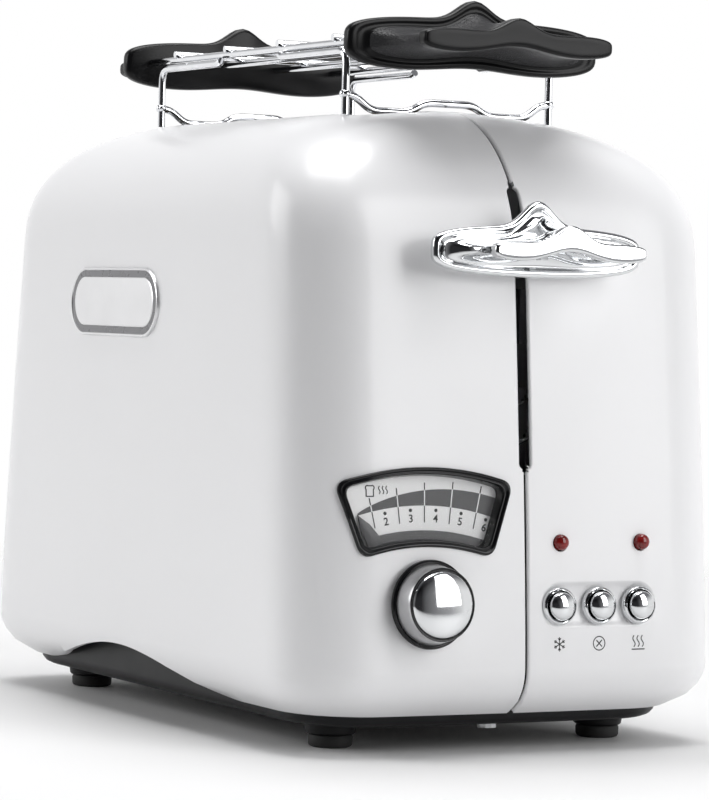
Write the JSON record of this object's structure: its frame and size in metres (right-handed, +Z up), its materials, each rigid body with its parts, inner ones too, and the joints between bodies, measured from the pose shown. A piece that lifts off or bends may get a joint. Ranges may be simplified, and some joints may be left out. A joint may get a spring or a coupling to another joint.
{
  "type": "pop up toaster",
  "caption": "Two slice pop up toaster in white metal with a chrome lever, browning gauge and knob, push buttons and a lift off bun warming rack.",
  "frame": {"origin": "middle of the assembly's box, at the surface that the feet stand on", "axes": "+Z up, -Y towards the control end, +X to the right seen from the control end"},
  "size_m": [0.16, 0.2876, 0.2415],
  "materials": {
    "white_paint": "satin white enamel on pressed steel",
    "black_plastic": "fine matt moulding",
    "gloss_black": "polished moulding",
    "grained_plastic": "spark eroded grain",
    "chrome_plate": "bright plated",
    "chrome_wire": "bright plated wire",
    "steel": "zinc plated sheet",
    "rubber": "moulded",
    "mica_board": "pressed mica with wound ribbon",
    "circuit_board": "solder mask",
    "copper_wire": "enamelled winding",
    "clear_lens": "clear",
    "dial_print": "printed card",
    "lamp_red": "tinted dome",
    "badge_metal": "satin plate with an enamel border"
  },
  "bodies": {
    "housing": {"left_shell": "white_paint", "right_shell": "white_paint", "base_tray": "black_plastic", "foot_front_left": "rubber", "foot_front_right": "rubber", "foot_rear_left": "rubber", "foot_rear_right": "rubber", "base_screw_front": "steel", "base_screw_rear": "steel", "gauge_bezel": "gloss_black", "gauge_lens": "clear_lens", "gauge_dial": "dial_print", "power_lamp": "lamp_red", "function_lamp": "lamp_red", "defrost_button_ring": "chrome_plate", "cancel_button_ring": "chrome_plate", "reheat_button_ring": "chrome_plate", "control_frame": "black_plastic", "control_board": "circuit_board", "browning_timer": "black_plastic", "defrost_switch": "black_plastic", "cancel_switch": "black_plastic", "reheat_switch": "black_plastic", "guide_rod_left": "steel", "guide_rod_right": "steel", "lift_spring": "steel", "holding_magnet": "copper_wire", "front_chassis_plate": "steel", "rear_chassis_plate": "steel", "top_chassis_plate": "steel", "heater_left": "mica_board", "heater_middle": "mica_board", "heater_right": "mica_board", "reflector_left": "steel", "reflector_right": "steel", "guard_left_outer": "steel", "guard_left_inner": "steel", "guard_right_inner": "steel", "guard_right_outer": "steel", "cord_gland": "black_plastic", "badge_plate": "badge_metal"},
    "carriage": {"lever_handle": "chrome_plate", "lever_stem": "steel", "carriage_bracket": "steel", "latch_armature": "steel", "bread_lifter_left": "steel", "bread_lifter_right": "steel"},
    "knob": {"knob_cap": "chrome_plate", "knob_skirt": "black_plastic", "knob_shaft": "steel"},
    "needle": {"gauge_needle": "black_plastic"},
    "defrost_push": {"defrost_button": "chrome_plate"},
    "cancel_push": {"cancel_button": "chrome_plate"},
    "reheat_push": {"reheat_button": "chrome_plate"},
    "crumb_drawer": {"crumb_tray": "steel"},
    "rack": {"rack_top": "chrome_wire", "rack_leg_frame_front": "chrome_wire", "rack_leg_frame_rear": "chrome_wire", "rack_handle_front": "grained_plastic", "rack_handle_rear": "grained_plastic"}
  },
  "joints": [
    {"name": "carriage_slide", "type": "slide", "parent": "housing", "child": "carriage", "axis": [0, 0, 1], "range_m": [-0.062, 0.014], "stiffness_N_per_m": 200, "springref_m": 0.011, "deforming": ["lift_spring"]},
    {"name": "knob_turn", "type": "hinge", "parent": "housing", "child": "knob", "pos_m": [-0.036, -0.12202, 0.048], "axis": [0, 0.9973, -0.0732], "range_deg": [0, 274.1]},
    {"name": "needle_swing", "type": "hinge", "parent": "housing", "child": "needle", "pos_m": [-0.036, -0.12378, 0.024], "axis": [0, 0.9973, -0.0732], "range_deg": [0, 44]},
    {"name": "defrost_press", "type": "slide", "parent": "housing", "child": "defrost_push", "axis": [0, 0.9973, -0.0732], "range_m": [0, 0.002], "stiffness_N_per_m": 300, "springref_m": -0.0005},
    {"name": "cancel_press", "type": "slide", "parent": "housing", "child": "cancel_push", "axis": [0, 0.9973, -0.0732], "range_m": [0, 0.002], "stiffness_N_per_m": 300, "springref_m": -0.0005},
    {"name": "reheat_press", "type": "slide", "parent": "housing", "child": "reheat_push", "axis": [0, 0.9973, -0.0732], "range_m": [0, 0.002], "stiffness_N_per_m": 300, "springref_m": -0.0005},
    {"name": "crumb_tray_slide", "type": "slide", "parent": "housing", "child": "crumb_drawer", "axis": [0, 1, 0], "range_m": [0, 0.19]},
    {"name": "rack_lift", "type": "slide", "parent": "housing", "child": "rack", "axis": [0, 0, 1], "range_m": [0, 0.06]}
  ],
  "couplings": [
    {"joint": "needle_swing", "follows": "knob_turn", "ratio": 0.16048}
  ]
}
